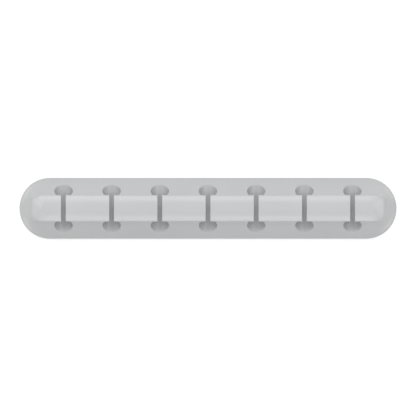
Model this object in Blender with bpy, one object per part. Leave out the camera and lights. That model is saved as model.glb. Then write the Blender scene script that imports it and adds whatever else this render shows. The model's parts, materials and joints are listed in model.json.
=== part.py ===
"""Adhesive desk cable organizer: a soft moulded bar with seven keyhole slots.

Units are metres, +Z is up and +X runs along the bar. The origin is the centre
of the resting face, so the release liner lies on z = 0.

    body           one moulding: stadium base, sloping flanks, a crowned ridge
                   with upright sides and ends that roll over into the flank,
                   and seven keyhole slots that run across it
    adhesive_pad   double-sided foam pad under the body
    release_liner  peel-off sheet under the pad
"""

import math

import bpy
import bmesh
from mathutils import Vector

# ---------------------------------------------------------------- dimensions
MM = 0.001

LENGTH = 130.0 * MM          # overall length of the moulding
WIDTH = 21.0 * MM            # overall width, with fully round ends

SLOT_COUNT = 7
SLOT_PITCH = 16.58 * MM      # centre to centre
SLIT_WIDTH = 1.6 * MM        # gap between two lips
BORE_RADIUS = 3.1 * MM       # round cable channel
BORE_HEIGHT = 6.4 * MM       # channel centre above the body's underside
LIP_CORNER = 0.4 * MM        # rounding where the slit opens into the channel

LINER_THICKNESS = 0.12 * MM
PAD_THICKNESS = 0.5 * MM
PIECE_GAP = 0.3 * MM         # clearance between the meshes of two pieces
PAD_MARGIN = 1.0 * MM        # the pad stays this far inside the body's edge

RIM_HEIGHT = 0.5 * MM        # upright edge all round the base
RIM_ROUND = 0.4 * MM         # rounding of that edge, up to the flank's slope
RIM_TURN = math.radians(48)
FLANK_TOP = 8.5 * MM         # where the sloping flank meets the upright wall
FLANK_EASE = 0.68 * MM       # how far the flank hangs below a straight line
RIDGE_HALF_WIDTH = 4.58 * MM
WALL_DRAFT = 0.04 * MM       # the ridge's wall leans in by this much
SHOULDER_HEIGHT = 10.6 * MM
SHOULDER_ROUND = 0.28 * MM
CROWN_RISE = 1.0 * MM        # ridge's crown above its shoulders

# The ends have no upright wall: the flank runs on, steeply, and rolls over
# into a slope that climbs to the crown. Slope in degrees, by distance in mm
# from the tip.
END_SLOPES = ((0.0, 67.0), (3.5, 67.0), (4.7, 25.0), (7.6, 22.0), (8.2, 0.0))
END_START = 55.5 * MM        # the ridge is straight this far from the centre
RIDGE_SQUARENESS = 6.5       # superellipse power of the plan at the flank's top

END_SEGMENTS = 32            # segments round each end
BORE_SEGMENTS = 32

BODY_BASE = LINER_THICKNESS + PAD_THICKNESS + 2 * PIECE_GAP
OVERCUT = 4.0 * MM


# ------------------------------------------------------------------- helpers
def clear_scene():
    for old in list(bpy.data.objects):
        bpy.data.objects.remove(old, do_unlink=True)


def principled(name, colour, roughness, metallic=0.0):
    material = bpy.data.materials.new(name)
    material.use_nodes = True
    shader = material.node_tree.nodes["Principled BSDF"]
    shader.inputs["Base Color"].default_value = (*colour, 1.0)
    shader.inputs["Roughness"].default_value = roughness
    shader.inputs["Metallic"].default_value = metallic
    material.diffuse_color = (*colour, 1.0)
    return material


def add_object(name, bm, material=None, location=(0.0, 0.0, 0.0)):
    bmesh.ops.recalc_face_normals(bm, faces=bm.faces)
    mesh = bpy.data.meshes.new(name)
    bm.to_mesh(mesh)
    bm.free()
    obj = bpy.data.objects.new(name, mesh)
    obj.location = location
    bpy.context.scene.collection.objects.link(obj)
    if material:
        mesh.materials.append(material)
    return obj


def slot_positions():
    first = -SLOT_PITCH * (SLOT_COUNT - 1) / 2
    return [first + SLOT_PITCH * i for i in range(SLOT_COUNT)]


def plan_outline(half_width, half_length, end_reach, power, height):
    """One closed plan outline: straight sides and two superellipse ends.

    A power of 2 with end_reach equal to half_width gives true half circles.
    The straight sides have a point on each side of every slot.
    """
    beside = SLIT_WIDTH / 2 + BORE_RADIUS
    stations = [x + d for x in slot_positions() for d in (-beside, beside)]
    points = []
    for side in (1, -1):
        for i in range(END_SEGMENTS + 1):
            angle = -math.pi / 2 + math.pi * i / END_SEGMENTS
            c, s = max(math.cos(angle), 0.0), math.sin(angle)
            k = (c ** power + abs(s) ** power) ** (-1.0 / power)
            x = half_length - end_reach + end_reach * c * k
            points.append(Vector((side * x, side * half_width * s * k, height)))
        for x in reversed(stations):
            points.append(Vector((side * x, side * half_width, height)))
    return points


def bridge_outlines(bm, outlines):
    """Skin a stack of outlines and close it with a face at each end."""
    rings = [[bm.verts.new(point) for point in outline] for outline in outlines]
    count = len(rings[0])
    for low, high in zip(rings, rings[1:]):
        for i in range(count):
            j = (i + 1) % count
            bm.faces.new((low[i], low[j], high[j], high[i]))
    bm.faces.new(list(reversed(rings[0])))
    bm.faces.new(rings[-1])


# ------------------------------------------------------------ body's section
def crown_tilt():
    """Slope of the crown where it leaves the rounded shoulder."""
    tilt = 0.4
    for _ in range(40):
        inset = SHOULDER_ROUND * (1 - math.sin(tilt))
        tilt = math.atan2(2 * CROWN_RISE, RIDGE_HALF_WIDTH - WALL_DRAFT - inset)
    return tilt


def end_slope(inset):
    """Slope of an end's side profile, this far in from the tip."""
    for (near, first), (far, second) in zip(END_SLOPES, END_SLOPES[1:]):
        if inset <= far * MM:
            share = (inset / MM - near) / (far - near)
            return math.radians(first + (second - first) * share)
    return math.radians(END_SLOPES[-1][1])


def end_profile():
    """(height, inset) up the side profile of an end, from rim to crown."""
    low = RIM_HEIGHT + RIM_ROUND * math.sin(RIM_TURN)
    high = SHOULDER_HEIGHT - SHOULDER_ROUND * (1 - math.cos(crown_tilt())) + CROWN_RISE
    start, stop, steps = RIM_ROUND * (1 - math.cos(RIM_TURN)), END_SLOPES[-1][0] * MM, 400
    rises = [(0.0, start)]
    for i in range(steps):
        middle = start + (stop - start) * (i + 0.5) / steps
        rise = rises[-1][0] + math.tan(end_slope(middle)) * (stop - start) / steps
        rises.append((rise, start + (stop - start) * (i + 1) / steps))
    return [(low + rise * (high - low) / rises[-1][0], inset) for rise, inset in rises]


def end_length(z):
    """Half length of the moulding at height z, above the rim."""
    profile = end_profile()
    for (low, first), (high, second) in zip(profile, profile[1:]):
        if z <= high:
            share = max(0.0, (z - low) / (high - low))
            return LENGTH / 2 - first - (second - first) * share
    return LENGTH / 2 - profile[-1][1]


def end_power(z):
    """Superellipse power of the plan outline at height z, above the foot."""
    share = (z - FLANK_TOP) / (end_profile()[-1][0] - FLANK_TOP)
    return 2.0 + (RIDGE_SQUARENESS - 2.0) * max(0.0, 1.0 - share)


def section():
    """(half_width, half_length, end_reach, power, height) up the moulding.

    Heights are measured from the body's underside.
    """
    w0, e0 = WIDTH / 2, LENGTH / 2
    w1, e1 = RIDGE_HALF_WIDTH, end_length(FLANK_TOP)
    rows = [(w0, e0, w0, 2.0, 0.0)]
    # thin rim, rounded over until it meets the flank's slope
    for i in range(4):
        a = RIM_TURN * i / 3
        inset = RIM_ROUND * (1 - math.cos(a))
        z = RIM_HEIGHT + RIM_ROUND * math.sin(a)
        rows.append((w0 - inset, e0 - inset, w0 - inset, 2.0, z))
    # sloping flank, hollowed slightly, from the rim to the foot of the wall
    steps = 8
    w_rim, z_rim = rows[-1][0], rows[-1][4]
    for i in range(1, steps + 1):
        t = i / steps
        w = w_rim + (w1 - w_rim) * t
        reach = w + (e1 - END_START - w1) * t
        power = 2.0 + (RIDGE_SQUARENESS - 2.0) * t * t
        z = z_rim + (FLANK_TOP - z_rim) * t - FLANK_EASE * 4 * t * (1 - t) ** 2
        rows.append((w, end_length(z), reach, power, z))
    # upright wall of the ridge, with a little draft, then its rounded shoulder
    arc_base = SHOULDER_HEIGHT - SHOULDER_ROUND
    heights = [FLANK_TOP + (arc_base - FLANK_TOP) * t for t in (0.4, 0.72, 0.9, 1.0)]
    for z in heights:
        w = w1 - WALL_DRAFT * (z - FLANK_TOP) / (arc_base - FLANK_TOP)
        e = end_length(z)
        rows.append((w, e, e - END_START, end_power(z), z))
    arc_steps = 4
    for i in range(1, arc_steps + 1):
        a = (math.pi / 2 - crown_tilt()) * i / arc_steps
        w = w1 - WALL_DRAFT - SHOULDER_ROUND * (1 - math.cos(a))
        z = SHOULDER_HEIGHT - SHOULDER_ROUND * (1 - math.sin(a))
        e = end_length(z)
        rows.append((w, e, e - END_START, end_power(z), z))
    # crown: a shallow arc across the ridge that slopes down at each end
    w_top, _, reach_top, _, z_top = rows[-1]
    crown_steps = 9
    for i in range(1, crown_steps):
        t = i / crown_steps
        left = 1 - t
        w = w_top * left
        z = z_top + CROWN_RISE * (1 - left * left)
        rows.append((w, end_length(z), reach_top * left ** 0.8, end_power(z), z))
    return rows


def body_height():
    return section()[-1][4]


# -------------------------------------------------------------- keyhole slot
def keyhole_outline(top):
    """(x, z) points of one slot, round the channel and up through the slit.

    z is measured from the body's underside.
    """
    s, r, f = SLIT_WIDTH / 2, BORE_RADIUS, LIP_CORNER
    fx = s + f
    fz = math.sqrt((r + f) ** 2 - fx ** 2)
    touch = math.atan2(fx, fz)           # from +Z, where lip corner meets bore
    half = [(s, top)]
    corner_steps = 4
    for i in range(corner_steps + 1):
        a = math.pi + (math.pi / 2 - touch) * i / corner_steps
        half.append((fx + f * math.cos(a), BORE_HEIGHT + fz + f * math.sin(a)))
    bore_steps = BORE_SEGMENTS // 2
    for i in range(1, bore_steps + 1):
        a = touch + (math.pi - touch) * i / bore_steps
        half.append((r * math.sin(a), BORE_HEIGHT + r * math.cos(a)))
    return half + [(-x, z) for x, z in reversed(half[:-1])]


def add_slot_cutter(name, x):
    bm = bmesh.new()
    top = body_height() + OVERCUT
    outline = keyhole_outline(top)
    reach = WIDTH / 2 + OVERCUT
    rings = [
        [bm.verts.new((px, y, pz)) for px, pz in outline] for y in (-reach, reach)
    ]
    count = len(outline)
    for i in range(count):
        j = (i + 1) % count
        bm.faces.new((rings[0][i], rings[0][j], rings[1][j], rings[1][i]))
    bm.faces.new(rings[0])
    bm.faces.new(list(reversed(rings[1])))
    cutter = add_object(name, bm, location=(x, 0.0, BODY_BASE))
    cutter.hide_render = True
    cutter.display_type = "WIRE"
    return cutter


# -------------------------------------------------------------------- pieces
def make_body():
    bm = bmesh.new()
    bridge_outlines(bm, [plan_outline(*row) for row in section()])
    material = principled("soft_grey_moulding", (0.355, 0.358, 0.364), 0.4)
    body = add_object("body", bm, material, location=(0.0, 0.0, BODY_BASE))
    for number, x in enumerate(slot_positions(), start=1):
        cut = body.modifiers.new(f"slot_{number}", "BOOLEAN")
        cut.operation = "DIFFERENCE"
        cut.solver = "EXACT"
        cut.object = add_slot_cutter(f"slot_cutter_{number}", x)
    body.data.shade_smooth()
    body.data.set_sharp_from_angle(angle=math.radians(35))
    return body


def make_sheet(name, material, low, thickness):
    """A flat stadium-shaped layer under the body."""
    bm = bmesh.new()
    half_width = WIDTH / 2 - PAD_MARGIN
    half_length = LENGTH / 2 - PAD_MARGIN
    bridge_outlines(
        bm,
        [
            plan_outline(half_width, half_length, half_width, 2.0, z)
            for z in (0.0, thickness)
        ],
    )
    sheet = add_object(name, bm, material, location=(0.0, 0.0, low))
    sheet.data.shade_smooth()
    sheet.data.set_sharp_from_angle(angle=math.radians(35))
    return sheet


def main():
    clear_scene()
    make_body()
    make_sheet(
        "adhesive_pad",
        principled("foam_pad", (0.78, 0.78, 0.76), 0.8),
        LINER_THICKNESS + PIECE_GAP,
        PAD_THICKNESS,
    )
    make_sheet(
        "release_liner",
        principled("coated_paper", (0.86, 0.85, 0.82), 0.45),
        0.0,
        LINER_THICKNESS,
    )


main()
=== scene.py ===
import json
import math

import bmesh
import bpy
import numpy as np
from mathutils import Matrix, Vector
from mathutils.geometry import delaunay_2d_cdt

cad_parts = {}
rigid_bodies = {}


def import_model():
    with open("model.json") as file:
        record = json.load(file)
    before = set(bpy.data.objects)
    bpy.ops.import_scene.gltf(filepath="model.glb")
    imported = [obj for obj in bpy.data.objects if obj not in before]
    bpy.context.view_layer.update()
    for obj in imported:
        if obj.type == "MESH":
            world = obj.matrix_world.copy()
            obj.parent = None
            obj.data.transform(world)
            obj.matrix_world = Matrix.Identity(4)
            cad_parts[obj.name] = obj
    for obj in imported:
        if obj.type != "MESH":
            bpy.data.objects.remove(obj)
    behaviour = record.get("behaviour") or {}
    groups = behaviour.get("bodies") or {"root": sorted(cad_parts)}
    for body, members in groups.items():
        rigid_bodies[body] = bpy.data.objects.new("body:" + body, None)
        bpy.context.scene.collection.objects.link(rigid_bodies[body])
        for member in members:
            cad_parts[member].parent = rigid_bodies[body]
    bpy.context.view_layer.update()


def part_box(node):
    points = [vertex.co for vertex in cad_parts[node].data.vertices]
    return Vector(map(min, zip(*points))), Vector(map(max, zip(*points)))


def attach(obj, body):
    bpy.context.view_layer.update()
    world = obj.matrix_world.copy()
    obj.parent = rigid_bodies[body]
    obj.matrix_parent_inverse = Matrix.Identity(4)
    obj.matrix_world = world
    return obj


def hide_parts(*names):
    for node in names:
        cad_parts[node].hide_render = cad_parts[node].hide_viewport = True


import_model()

# Millimetres, measured from the underside of the moulding. The plan's centre
# is the origin, x runs along the bar and y along the cable channels.
LENGTH, WIDTH = 130.0, 21.0
SLOT_COUNT, SLOT_PITCH = 7, 16.58
SLIT_WIDTH, BORE_RADIUS, BORE_HEIGHT, LIP_CORNER = 1.6, 3.1, 6.4, 0.4
RIM_HEIGHT, RIM_ROUND = 0.5, 0.4
FLANK_TOP, FLANK_EASE = 8.5, 0.68
RIDGE_HALF_WIDTH, WALL_DRAFT = 4.58, 0.04
SHOULDER_HEIGHT, SHOULDER_ROUND, CROWN_RISE = 10.6, 0.28, 1.0
RIDGE_SQUARENESS = 6.5
# The two ends have no upright wall. Their side profile is given as the slope in
# degrees at distances in from the tip.
END_SLOPES = ((0.0, 67.0), (3.5, 67.0), (4.7, 25.0), (7.6, 22.0), (8.2, 0.0))
FOOT_ROUND = 0.7          # concave rounding where the flank meets the wall
SLIT_SOFTNESS, MOUTH_SOFTNESS = 0.09, 0.26   # rounding of the edges of a slot
TILE_HALF = 4.5           # half length of the meshed patch round each slot
BODY_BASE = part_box("body")[0][2] * 1000


# ------------------------------------------------------------ cross-section
def half_section():
    """Points (w, z, e, reach, power) from the base edge up to the crown.

    w and z are the section's half width and height. e, reach and power are
    the half length, end reach and superellipse power of the plan outline at
    that height, which give the two ends their shape.
    """
    w0, e0 = WIDTH / 2, LENGTH / 2
    w1, e1 = RIDGE_HALF_WIDTH, end_length(FLANK_TOP)
    rows = []
    for z in np.linspace(0.0, RIM_HEIGHT, 3)[:-1]:
        rows.append((w0, z, e0, w0, 2.0))
    for a in np.linspace(0.0, RIM_TURN, 6):
        inset = RIM_ROUND * (1 - math.cos(a))
        rows.append((w0 - inset, RIM_HEIGHT + RIM_ROUND * math.sin(a), e0 - inset, w0 - inset, 2.0))
    wr, zr = rows[-1][0], rows[-1][1]

    def flank(t):
        w = wr + (w1 - wr) * t
        z = zr + (FLANK_TOP - zr) * t - FLANK_EASE * 4 * t * (1 - t) ** 2
        return w, z, end_length(z), w + (e1 - END_START - w1) * t, 2.0 + (RIDGE_SQUARENESS - 2.0) * t * t

    # rounded foot between the flank and the wall
    slope = np.array(flank(1.0)[:2]) - np.array(flank(0.99)[:2])
    slope /= np.hypot(*slope)
    turn = math.acos(min(1.0, slope[1]))
    reach = FOOT_ROUND * math.tan(turn / 2) / 1.0
    t_end = 1.0 - reach / math.hypot(w1 - wr, FLANK_TOP - zr)
    for t in np.linspace(0.0, t_end, 22)[1:]:
        rows.append(flank(t))
    p0 = np.array(rows[-1])
    p1 = np.array((w1, FLANK_TOP, e1, e1 - END_START, RIDGE_SQUARENESS))
    arc_base = SHOULDER_HEIGHT - SHOULDER_ROUND
    e2 = end_length(FLANK_TOP + reach)
    p2 = np.array(
        (
            w1 - WALL_DRAFT * reach / (arc_base - FLANK_TOP),
            FLANK_TOP + reach,
            e2,
            e2 - END_START,
            end_power(FLANK_TOP + reach),
        )
    )
    for u in np.linspace(0.0, 1.0, 6)[1:]:
        rows.append(tuple((1 - u) ** 2 * p0 + 2 * u * (1 - u) * p1 + u * u * p2))
    # wall with a little draft, then the rounded shoulder
    ws = w1 - WALL_DRAFT
    for z in np.linspace(FLANK_TOP + reach, arc_base, 15)[1:]:
        w = w1 - WALL_DRAFT * (z - FLANK_TOP) / (arc_base - FLANK_TOP)
        e = end_length(z)
        rows.append((w, z, e, e - END_START, end_power(z)))
    tilt = crown_tilt()
    for a in np.linspace(0.0, math.pi / 2 - tilt, 8)[1:]:
        w = ws - SHOULDER_ROUND * (1 - math.cos(a))
        z = SHOULDER_HEIGHT - SHOULDER_ROUND * (1 - math.sin(a))
        e = end_length(z)
        rows.append((w, z, e, e - END_START, end_power(z)))
    w_top, z_top, _, reach_top = rows[-1][:4]
    for t in np.linspace(0.0, 1.0, 18)[1:]:
        left = 1.0 - t
        z = z_top + CROWN_RISE * (1 - left * left)
        rows.append(
            (
                w_top * left,
                z,
                end_length(z),
                reach_top * left ** 0.8,
                end_power(z),
            )
        )
    return np.array(rows)


def crown_tilt():
    """Slope of the crown where it leaves the rounded shoulder."""
    tilt = 0.4
    for _ in range(40):
        w = RIDGE_HALF_WIDTH - WALL_DRAFT - SHOULDER_ROUND * (1 - math.sin(tilt))
        tilt = math.atan2(2 * CROWN_RISE, w)
    return tilt


def end_profile():
    """Heights and insets up the side profile of an end, from rim to crown."""
    low = RIM_HEIGHT + RIM_ROUND * math.sin(RIM_TURN)
    high = SHOULDER_HEIGHT - SHOULDER_ROUND * (1 - math.cos(crown_tilt())) + CROWN_RISE
    places, slopes = zip(*END_SLOPES)
    inset = np.linspace(RIM_ROUND * (1 - math.cos(RIM_TURN)), places[-1], 1200)
    grade = np.tan(np.radians(np.interp(inset, places, slopes)))
    rise = np.concatenate([[0.0], np.cumsum(np.diff(inset) * (grade[1:] + grade[:-1]) / 2)])
    return low + rise * (high - low) / rise[-1], inset


def end_length(z):
    """Half length at height z, above the rim."""
    return LENGTH / 2 - float(np.interp(z, *END_PROFILE))


def end_power(z):
    """Superellipse power of the plan outline at height z, above the foot."""
    share = (z - FLANK_TOP) / (END_PROFILE[0][-1] - FLANK_TOP)
    return 2.0 + (RIDGE_SQUARENESS - 2.0) * max(0.0, 1.0 - share)


RIM_TURN = math.radians(48)
END_PROFILE = end_profile()
END_START = 55.5          # the ridge is straight up to this distance from the centre
SECTION = half_section()
W, Z = SECTION[:, 0], SECTION[:, 1]
S = np.concatenate([[0.0], np.cumsum(np.hypot(np.diff(W), np.diff(Z)))])
S_MID = S[-1]


def s_of_z(z):
    return float(np.interp(z, Z, S))


def w_of_z(z):
    return float(np.interp(z, Z, W))


def on_surface(x, s):
    """The point at (x, s) of the unrolled outer surface of the straight part."""
    side = 1.0
    if s > S_MID:
        s, side = 2 * S_MID - s, -1.0
    return (x, side * float(np.interp(s, S, W)), float(np.interp(s, S, Z)))


# --------------------------------------------------------------- slot shape
def keyhole():
    """Right half of the keyhole as (k, x, z): k is the length along it."""
    s, r, f = SLIT_WIDTH / 2, BORE_RADIUS, LIP_CORNER
    fx = s + f
    fz = math.sqrt((r + f) ** 2 - fx * fx)
    touch = math.atan2(fx, fz)
    points = []
    for a in np.linspace(0.0, math.pi - touch, 46):
        points.append((r * math.sin(a), BORE_HEIGHT - r * math.cos(a)))
    for a in np.linspace(1.5 * math.pi - touch, math.pi, 7)[1:]:
        points.append((fx + f * math.cos(a), BORE_HEIGHT + fz + f * math.sin(a)))
    top_of_corner = points[-1][1]
    points = np.array(points)
    k = np.concatenate([[0.0], np.cumsum(np.hypot(*np.diff(points, axis=0).T))])
    return np.column_stack([k, points]), top_of_corner


KEY, LIP_TOP = keyhole()
K_LIP = KEY[-1, 0]


def on_wall(k, y):
    """The point at (k, y) of the unrolled wall of a slot."""
    side = 1.0 if k >= 0 else -1.0
    k = abs(k)
    if k > K_LIP:
        return (side * SLIT_WIDTH / 2, y, LIP_TOP + k - K_LIP)
    return (side * float(np.interp(k, KEY[:, 0], KEY[:, 1])), y, float(np.interp(k, KEY[:, 0], KEY[:, 2])))


def edge_loop():
    """Matching points of the sharp edge in both unrolled planes, and in space.

    Starts at the bottom of one mouth and runs round the whole slot.
    """
    quarter = []
    for k, x, z in KEY:
        quarter.append((x, s_of_z(z), k, w_of_z(z), z))
    for w, z, s in zip(W, Z, S):
        if z > LIP_TOP + 0.08:
            quarter.append((SLIT_WIDTH / 2, s, K_LIP + z - LIP_TOP, w, z))
    quarter = np.array(quarter)
    half = [tuple(q) for q in quarter]
    half += [(x, 2 * S_MID - s, k, -y, z) for x, s, k, y, z in reversed(quarter[:-1])]
    loop = half + [(-x, s, -k, y, z) for x, s, k, y, z in reversed(half[1:-1])]
    return np.array(loop)


def loop_normals(points):
    """Unit normals of a closed 2-D loop, to the right of its direction."""
    before, after = np.roll(points, 1, axis=0), np.roll(points, -1, axis=0)
    a = points - before
    b = after - points
    a /= np.linalg.norm(a, axis=1)[:, None]
    b /= np.linalg.norm(b, axis=1)[:, None]
    t = a + b
    t /= np.linalg.norm(t, axis=1)[:, None]
    return np.column_stack([t[:, 1], -t[:, 0]])


def signed_area(points):
    x, y = points[:, 0], points[:, 1]
    return 0.5 * float(np.sum(x * np.roll(y, -1) - y * np.roll(x, -1)))


def inside(loop, points):
    """Which points lie inside a closed 2-D loop."""
    hit = np.zeros(len(points), bool)
    px, py = points[:, 0], points[:, 1]
    for (x0, y0), (x1, y1) in zip(loop, np.roll(loop, -1, axis=0)):
        if y0 == y1:
            continue
        cross = (y0 > py) != (y1 > py)
        hit ^= cross & (px < (x1 - x0) * (py - y0) / (y1 - y0) + x0)
    return hit


def clearance(loop, points):
    """Distance of each point from a closed 2-D loop."""
    best = np.full(len(points), 1e9)
    for a, b in zip(loop, np.roll(loop, -1, axis=0)):
        d = b - a
        t = np.clip(((points - a) @ d) / max(float(d @ d), 1e-12), 0, 1)
        best = np.minimum(best, np.linalg.norm(points - (a + t[:, None] * d), axis=1))
    return best


def triangulate(points, edges):
    verts, _, faces, _, _, _ = delaunay_2d_cdt(
        [Vector(p) for p in points], edges, [], 0, 1e-6
    )
    return np.array([tuple(v) for v in verts]), [tuple(f) for f in faces]


def closed_edges(start, count):
    return [(start + i, start + (i + 1) % count) for i in range(count)]


# -------------------------------------------------------------- one slot
def slot_patch():
    """Triangles and quads of the surface round one slot, and of its walls.

    Returned as (list of points, list of faces), centred on the slot.
    """
    loop = edge_loop()
    flat = loop[:, 0:2].copy()          # (x, s)
    wall = loop[:, 2:4].copy()          # (k, y)
    space = np.array([(x, y, z) for x, _, _, y, z in loop])
    out_n = loop_normals(flat) * (1 if signed_area(flat) > 0 else -1)
    in_n = loop_normals(wall) * (-1 if signed_area(wall) > 0 else 1)
    mouth = np.clip((K_LIP - 0.1 - np.abs(loop[:, 2])) / 0.9, 0.0, 1.0)
    soft = SLIT_SOFTNESS + (MOUTH_SOFTNESS - SLIT_SOFTNESS) * mouth * mouth * (3 - 2 * mouth)
    flat_1 = flat + out_n * soft[:, None]
    flat_2 = flat + out_n * (soft + 0.10)[:, None]
    wall_1 = wall + in_n * soft[:, None]
    wall_2 = wall + in_n * (soft + 0.10)[:, None]

    points, faces = [], []

    def add(coords, polygons):
        base = len(points)
        points.extend(tuple(c) for c in coords)
        faces.extend(tuple(base + i for i in f) for f in polygons)

    # outer surface
    rows = np.concatenate([S, 2 * S_MID - S[-2::-1]])
    columns = np.linspace(-TILE_HALF, TILE_HALF, 21)
    grid = np.array([(x, s) for s in rows for x in columns])
    border = (np.abs(np.abs(grid[:, 0]) - TILE_HALF) < 1e-9) | (grid[:, 1] == 0) | (grid[:, 1] == rows[-1])
    keep = ~inside(flat_2, grid) & (clearance(flat_2, grid) > 0.16) | border
    grid = grid[keep]
    n = len(loop)
    coords = np.concatenate([flat_1, flat_2, grid])
    edges = closed_edges(0, n) + closed_edges(n, n)
    verts, tris = triangulate(coords, edges)
    centres = np.array([verts[list(t)].mean(axis=0) for t in tris])
    hole = inside(flat_1, centres)
    area = np.array([abs(signed_area(verts[list(t)])) for t in tris])
    tris = [t for t, h, a in zip(tris, hole, area) if not h and a > 1e-7]
    add([on_surface(x, s) for x, s in verts], tris)

    # rounded edge
    steps = 5
    start = np.array([on_surface(x, s) for x, s in flat_1])
    finish = np.array([on_wall(k, y) for k, y in wall_1])
    strips = []
    for u in np.linspace(0, 1, steps + 1):
        strips.append((1 - u) ** 2 * start + 2 * u * (1 - u) * space + u * u * finish)
    quads = []
    for j in range(steps):
        for i in range(n):
            k = (i + 1) % n
            quads.append((j * n + i, j * n + k, (j + 1) * n + k, (j + 1) * n + i))
    add(np.concatenate(strips), quads)

    # walls
    k_rows = list(KEY[:, 0]) + list(np.arange(K_LIP + 0.3, K_LIP + Z[-1] - LIP_TOP, 0.3))
    k_rows = np.array(sorted({round(v, 9) for v in k_rows} | {round(-v, 9) for v in k_rows}))
    k_rows = np.concatenate([k_rows[np.abs(k_rows) > K_LIP - 0.5], k_rows[np.abs(k_rows) <= K_LIP - 0.5][::1]])
    y_cols = np.linspace(-WIDTH / 2, WIDTH / 2, 43)
    grid = np.array([(k, y) for k in k_rows for y in y_cols])
    keep = inside(wall_2, grid) & (clearance(wall_2, grid) > 0.14)
    grid = grid[keep]
    coords = np.concatenate([wall_1, wall_2, grid])
    verts, tris = triangulate(coords, closed_edges(0, n) + closed_edges(n, n))
    centres = np.array([verts[list(t)].mean(axis=0) for t in tris])
    within = inside(wall_1, centres)
    area = np.array([abs(signed_area(verts[list(t)])) for t in tris])
    tris = [t for t, h, a in zip(tris, within, area) if h and a > 1e-7]
    add([on_wall(k, y) for k, y in verts], tris)
    return points, faces


# -------------------------------------------------------------- whole body
def grid_faces(rows, columns, base=0):
    quads = []
    for j in range(rows - 1):
        for i in range(columns - 1):
            a = base + j * columns + i
            quads.append((a, a + 1, a + columns + 1, a + columns))
    return quads


def build_body():
    points, faces = [], []

    def add(coords, polygons):
        base = len(points)
        points.extend(coords)
        faces.extend(tuple(base + i for i in f) for f in polygons)

    patch_points, patch_faces = slot_patch()
    centres = [(i - (SLOT_COUNT - 1) / 2) * SLOT_PITCH for i in range(SLOT_COUNT)]
    for cx in centres:
        add([(x + cx, y, z) for x, y, z in patch_points], patch_faces)

    rows = np.concatenate([S, 2 * S_MID - S[-2::-1]])
    # plain stretches between the patches
    for left, right in zip(centres, centres[1:]):
        xs = np.linspace(left + TILE_HALF, right - TILE_HALF, 12)
        add([on_surface(x, s) for s in rows for x in xs], grid_faces(len(rows), len(xs)))

    # two round ends, as a stack of plan outlines
    x0 = centres[-1] + TILE_HALF
    around = 64
    for side in (1, -1):
        coords = []
        for w, z, e, reach, power in SECTION:
            line = [(x0, w)]
            for a in np.linspace(math.pi / 2, -math.pi / 2, around + 1):
                c, s = max(math.cos(a), 0.0), math.sin(a)
                k = (c ** power + abs(s) ** power) ** (-1.0 / power)
                line.append((e - reach + reach * c * k, w * s * k))
            line.append((x0, -w))
            coords += [(side * x, y, z) for x, y in line]
        add(coords, grid_faces(len(SECTION), around + 3))

    bm = bmesh.new()
    verts = [bm.verts.new((x * 0.001, y * 0.001, (z + BODY_BASE) * 0.001)) for x, y, z in points]
    for f in faces:
        try:
            bm.faces.new([verts[i] for i in f])
        except ValueError:
            pass
    bmesh.ops.remove_doubles(bm, verts=bm.verts, dist=2e-6)
    loose = [v for v in bm.verts if not v.link_faces]
    bmesh.ops.delete(bm, geom=loose, context="VERTS")
    bmesh.ops.dissolve_degenerate(bm, dist=1e-7, edges=bm.edges)
    border = [e for e in bm.edges if e.is_boundary]
    bmesh.ops.holes_fill(bm, edges=border, sides=0)
    bmesh.ops.recalc_face_normals(bm, faces=bm.faces)
    bad = [e for e in bm.edges if not e.is_manifold]
    print("body:", len(bm.verts), "points,", sum(len(f.verts) - 2 for f in bm.faces), "triangles,", len(bad), "open edges, volume", round(bm.calc_volume() * 1e9, 1))
    mesh = bpy.data.meshes.new("moulded_bar")
    bm.to_mesh(mesh)
    bm.free()
    mesh.shade_smooth()
    mesh.set_sharp_from_angle(angle=math.radians(50))
    obj = bpy.data.objects.new("moulded_bar", mesh)
    bpy.context.scene.collection.objects.link(obj)
    return obj


body = build_body()
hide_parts("body")
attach(body, "root")


# ------------------------------------------------- adhesive pad and its liner
def stadium(half_length, half_width, inset, ripple, phase):
    """Closed outline in mm: straight sides and half-round ends.

    ripple is how far a die-cut edge wanders, in mm.
    """
    r = half_width - inset
    c = half_length - half_width
    line = []
    for i in range(96):
        line.append((c - 2 * c * i / 96, r, 0.0, 1.0))
    for i in range(60):
        a = math.pi / 2 + math.pi * i / 60
        line.append((-c + r * math.cos(a), r * math.sin(a), math.cos(a), math.sin(a)))
    for i in range(96):
        line.append((-c + 2 * c * i / 96, -r, 0.0, -1.0))
    for i in range(60):
        a = -math.pi / 2 + math.pi * i / 60
        line.append((c + r * math.cos(a), r * math.sin(a), math.cos(a), math.sin(a)))
    wave = []
    for i, (x, y, nx, ny) in enumerate(line):
        a = 2 * math.pi * i / len(line)
        d = ripple * (0.6 * math.sin(37 * a + phase) + 0.4 * math.sin(83 * a + 2.3 * phase) - 1.0) / 2
        wave.append((x + nx * d, y + ny * d))
    return wave


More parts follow.
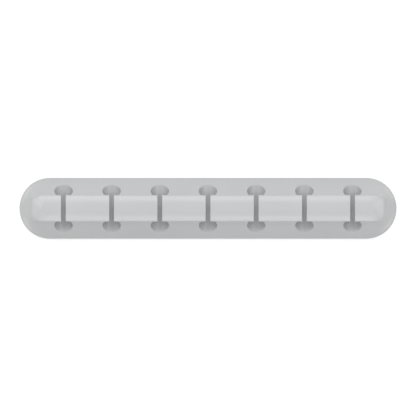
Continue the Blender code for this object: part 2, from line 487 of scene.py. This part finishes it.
def layered(name, node, profile, ripple):
    """A flat piece from rings (z, inset) in mm, in the plan of a CAD node."""
    low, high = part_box(node)
    half_length, half_width = (high[0] - low[0]) * 500, (high[1] - low[1]) * 500
    bm = bmesh.new()
    rings = []
    for j, (z, inset) in enumerate(profile):
        ring = stadium(half_length, half_width, inset, ripple, 1.7 * j)
        rings.append([bm.verts.new((x * 0.001, y * 0.001, z * 0.001)) for x, y in ring])
    for lower, upper in zip(rings, rings[1:]):
        for i in range(len(lower)):
            k = (i + 1) % len(lower)
            bm.faces.new((lower[i], lower[k], upper[k], upper[i]))
    bm.faces.new(reversed(rings[0]))
    bm.faces.new(rings[-1])
    bmesh.ops.recalc_face_normals(bm, faces=bm.faces)
    mesh = bpy.data.meshes.new(name)
    bm.to_mesh(mesh)
    bm.free()
    mesh.shade_smooth()
    mesh.set_sharp_from_angle(angle=math.radians(40))
    obj = bpy.data.objects.new(name, mesh)
    bpy.context.scene.collection.objects.link(obj)
    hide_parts(node)
    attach(obj, "root")
    return obj


# Foam tape, squeezed a little at both skins and fuller between them.
foam = layered(
    "foam_tape",
    "adhesive_pad",
    [(0.13, 0.07), (0.15, 0.04), (0.2, 0.06), (0.32, 0.02), (0.5, 0.0), (0.68, 0.02),
     (0.86, 0.0), (1.02, 0.03), (1.13, 0.06), (1.18, 0.04), (1.205, 0.08)],
    0.05,
)
paper = layered(
    "liner_paper",
    "release_liner",
    [(0.0, 0.02), (0.012, 0.0), (0.06, 0.006), (0.108, 0.0), (0.12, 0.02)],
    0.012,
)


# ---------------------------------------------------------------- materials
def material(name):
    m = bpy.data.materials.new(name)
    m.use_nodes = True
    nodes, links = m.node_tree.nodes, m.node_tree.links
    return m, nodes, links, nodes["Principled BSDF"]


def silicone():
    m, nodes, links, shader = material("satin_silicone")
    where = nodes.new("ShaderNodeTexCoord")
    cloud = nodes.new("ShaderNodeTexNoise")
    cloud.inputs["Scale"].default_value = 55.0
    cloud.inputs["Detail"].default_value = 3.0
    links.new(where.outputs["Object"], cloud.inputs["Vector"])
    tint = nodes.new("ShaderNodeValToRGB")
    tint.color_ramp.elements[0].position = 0.3
    tint.color_ramp.elements[0].color = (0.367, 0.370, 0.375, 1)
    tint.color_ramp.elements[1].position = 0.7
    tint.color_ramp.elements[1].color = (0.379, 0.382, 0.387, 1)
    links.new(cloud.outputs["Fac"], tint.inputs["Fac"])
    links.new(tint.outputs["Color"], shader.inputs["Base Color"])
    grain = nodes.new("ShaderNodeTexNoise")
    grain.inputs["Scale"].default_value = 2600.0
    grain.inputs["Detail"].default_value = 4.0
    links.new(where.outputs["Object"], grain.inputs["Vector"])
    rough = nodes.new("ShaderNodeMapRange")
    rough.inputs["To Min"].default_value = 0.21
    rough.inputs["To Max"].default_value = 0.26
    links.new(cloud.outputs["Fac"], rough.inputs["Value"])
    links.new(rough.outputs["Result"], shader.inputs["Roughness"])
    bump = nodes.new("ShaderNodeBump")
    bump.inputs["Strength"].default_value = 0.12
    bump.inputs["Distance"].default_value = 0.00002
    links.new(grain.outputs["Fac"], bump.inputs["Height"])
    links.new(bump.outputs["Normal"], shader.inputs["Normal"])
    shader.inputs["IOR"].default_value = 1.41
    shader.inputs["Specular IOR Level"].default_value = 0.306
    return m


def closed_cell_foam():
    m, nodes, links, shader = material("closed_cell_foam")
    where = nodes.new("ShaderNodeTexCoord")
    cells = nodes.new("ShaderNodeTexVoronoi")
    cells.inputs["Scale"].default_value = 5200.0
    links.new(where.outputs["Object"], cells.inputs["Vector"])
    grime = nodes.new("ShaderNodeTexNoise")
    grime.inputs["Scale"].default_value = 240.0
    grime.inputs["Detail"].default_value = 5.0
    links.new(where.outputs["Object"], grime.inputs["Vector"])
    tone = nodes.new("ShaderNodeValToRGB")
    tone.color_ramp.elements[0].position = 0.05
    tone.color_ramp.elements[0].color = (0.72, 0.72, 0.70, 1)
    tone.color_ramp.elements[1].position = 0.75
    tone.color_ramp.elements[1].color = (0.58, 0.58, 0.56, 1)
    links.new(cells.outputs["Distance"], tone.inputs["Fac"])
    wash = nodes.new("ShaderNodeMix")
    wash.data_type = "RGBA"
    wash.blend_type = "MULTIPLY"
    wash.inputs["Factor"].default_value = 0.12
    links.new(tone.outputs["Color"], wash.inputs["A"])
    links.new(grime.outputs["Color"], wash.inputs["B"])
    links.new(wash.outputs["Result"], shader.inputs["Base Color"])
    rough = nodes.new("ShaderNodeMapRange")
    rough.inputs["To Min"].default_value = 0.78
    rough.inputs["To Max"].default_value = 0.95
    links.new(grime.outputs["Fac"], rough.inputs["Value"])
    links.new(rough.outputs["Result"], shader.inputs["Roughness"])
    bump = nodes.new("ShaderNodeBump")
    bump.inputs["Strength"].default_value = 0.7
    bump.inputs["Distance"].default_value = 0.00006
    bump.invert = True
    links.new(cells.outputs["Distance"], bump.inputs["Height"])
    links.new(bump.outputs["Normal"], shader.inputs["Normal"])
    shader.inputs["IOR"].default_value = 1.47
    return m


def release_paper():
    m, nodes, links, shader = material("coated_release_paper")
    where = nodes.new("ShaderNodeTexCoord")
    stretch = nodes.new("ShaderNodeMapping")
    stretch.inputs["Scale"].default_value = (900.0, 3200.0, 3200.0)
    links.new(where.outputs["Object"], stretch.inputs["Vector"])
    fibre = nodes.new("ShaderNodeTexNoise")
    fibre.inputs["Scale"].default_value = 1.0
    fibre.inputs["Detail"].default_value = 6.0
    links.new(stretch.outputs["Vector"], fibre.inputs["Vector"])
    cloud = nodes.new("ShaderNodeTexNoise")
    cloud.inputs["Scale"].default_value = 130.0
    cloud.inputs["Detail"].default_value = 4.0
    links.new(where.outputs["Object"], cloud.inputs["Vector"])
    tone = nodes.new("ShaderNodeValToRGB")
    tone.color_ramp.elements[0].position = 0.3
    tone.color_ramp.elements[0].color = (0.71, 0.69, 0.64, 1)
    tone.color_ramp.elements[1].position = 0.7
    tone.color_ramp.elements[1].color = (0.76, 0.745, 0.70, 1)
    links.new(cloud.outputs["Fac"], tone.inputs["Fac"])
    fleck = nodes.new("ShaderNodeMix")
    fleck.data_type = "RGBA"
    fleck.blend_type = "MULTIPLY"
    fleck.inputs["Factor"].default_value = 0.10
    links.new(tone.outputs["Color"], fleck.inputs["A"])
    links.new(fibre.outputs["Color"], fleck.inputs["B"])
    links.new(fleck.outputs["Result"], shader.inputs["Base Color"])
    rough = nodes.new("ShaderNodeMapRange")
    rough.inputs["To Min"].default_value = 0.38
    rough.inputs["To Max"].default_value = 0.52
    links.new(fibre.outputs["Fac"], rough.inputs["Value"])
    links.new(rough.outputs["Result"], shader.inputs["Roughness"])
    bump = nodes.new("ShaderNodeBump")
    bump.inputs["Strength"].default_value = 0.25
    bump.inputs["Distance"].default_value = 0.00002
    links.new(fibre.outputs["Fac"], bump.inputs["Height"])
    links.new(bump.outputs["Normal"], shader.inputs["Normal"])
    shader.inputs["IOR"].default_value = 1.5
    return m


body.data.materials.append(silicone())
foam.data.materials.append(closed_cell_foam())
paper.data.materials.append(release_paper())

# ------------------------------------------------------------ floor, lights
floor_mesh = bpy.data.meshes.new("floor")
floor_mesh.from_pydata([(-3, -3, -0.00005), (3, -3, -0.00005), (3, 3, -0.00005), (-3, 3, -0.00005)], [], [(0, 1, 2, 3)])
floor = bpy.data.objects.new("floor", floor_mesh)
bpy.context.scene.collection.objects.link(floor)
fm, fn, fl, fs = material("pale_floor")
fs.inputs["Base Color"].default_value = (0.45, 0.45, 0.45, 1)
fs.inputs["Emission Color"].default_value = (1, 1, 1, 1)
fs.inputs["Emission Strength"].default_value = 0.54
fs.inputs["Roughness"].default_value = 0.9
floor_mesh.materials.append(fm)


def softbox(zenith, azimuth, size, energy):
    """A soft square light 1.2 m away, in the direction given in degrees."""
    z, a = math.radians(zenith), math.radians(azimuth)
    toward = Vector((math.sin(z) * math.cos(a), math.sin(z) * math.sin(a), math.cos(z)))
    light = bpy.data.lights.new("softbox", "AREA")
    light.shape = "SQUARE"
    light.size, light.energy = size, energy
    obj = bpy.data.objects.new("softbox", light)
    obj.location = toward * 1.2
    obj.rotation_euler = (-toward).to_track_quat("-Z", "Y").to_euler()
    bpy.context.scene.collection.objects.link(obj)


# A tent of softboxes: strongest behind the bar and to its upper left, weaker
# in front of it.
for zenith, azimuth, size, energy in (
    (26, 0, 0.30, 1.00), (38, 30, 0.28, 0.63), (38, 60, 0.28, 1.14), (38, 90, 0.28, 1.82),
    (38, 120, 0.28, 2.55), (38, 150, 0.28, 1.19), (38, 240, 0.28, 1.46), (38, 270, 0.28, 1.76),
    (38, 300, 0.28, 0.63), (48, 15, 0.20, 0.91), (48, 165, 0.20, 1.40), (50, 0, 0.28, 0.82),
    (50, 77, 0.28, 0.85), (50, 103, 0.28, 1.64), (50, 180, 0.28, 0.47), (50, 257, 0.28, 0.94),
    (50, 283, 0.28, 1.42),
):
    softbox(zenith, azimuth, size, energy)

world = bpy.data.worlds.new("studio")
bpy.context.scene.world = world
world.use_nodes = True
world.node_tree.nodes["Background"].inputs["Color"].default_value = (1, 1, 1, 1)
world.node_tree.nodes["Background"].inputs["Strength"].default_value = 0.499
bpy.context.scene.view_settings.view_transform = "Standard"

# ------------------------------------------------------------------- camera
mm_per_pixel = 130.0 / 377.0
camera_data = bpy.data.cameras.new("camera")
camera_data.lens = 1000.0             # the view has no visible perspective
camera_data.sensor_width = 36.0
camera_data.clip_end = 20.0
camera = bpy.data.objects.new("camera", camera_data)
camera.location = (0.0, 0.32 * mm_per_pixel * 0.001, 0.002 + 416 * mm_per_pixel * 0.001 * 1000.0 / 36.0)
bpy.context.scene.collection.objects.link(camera)
bpy.context.scene.camera = camera
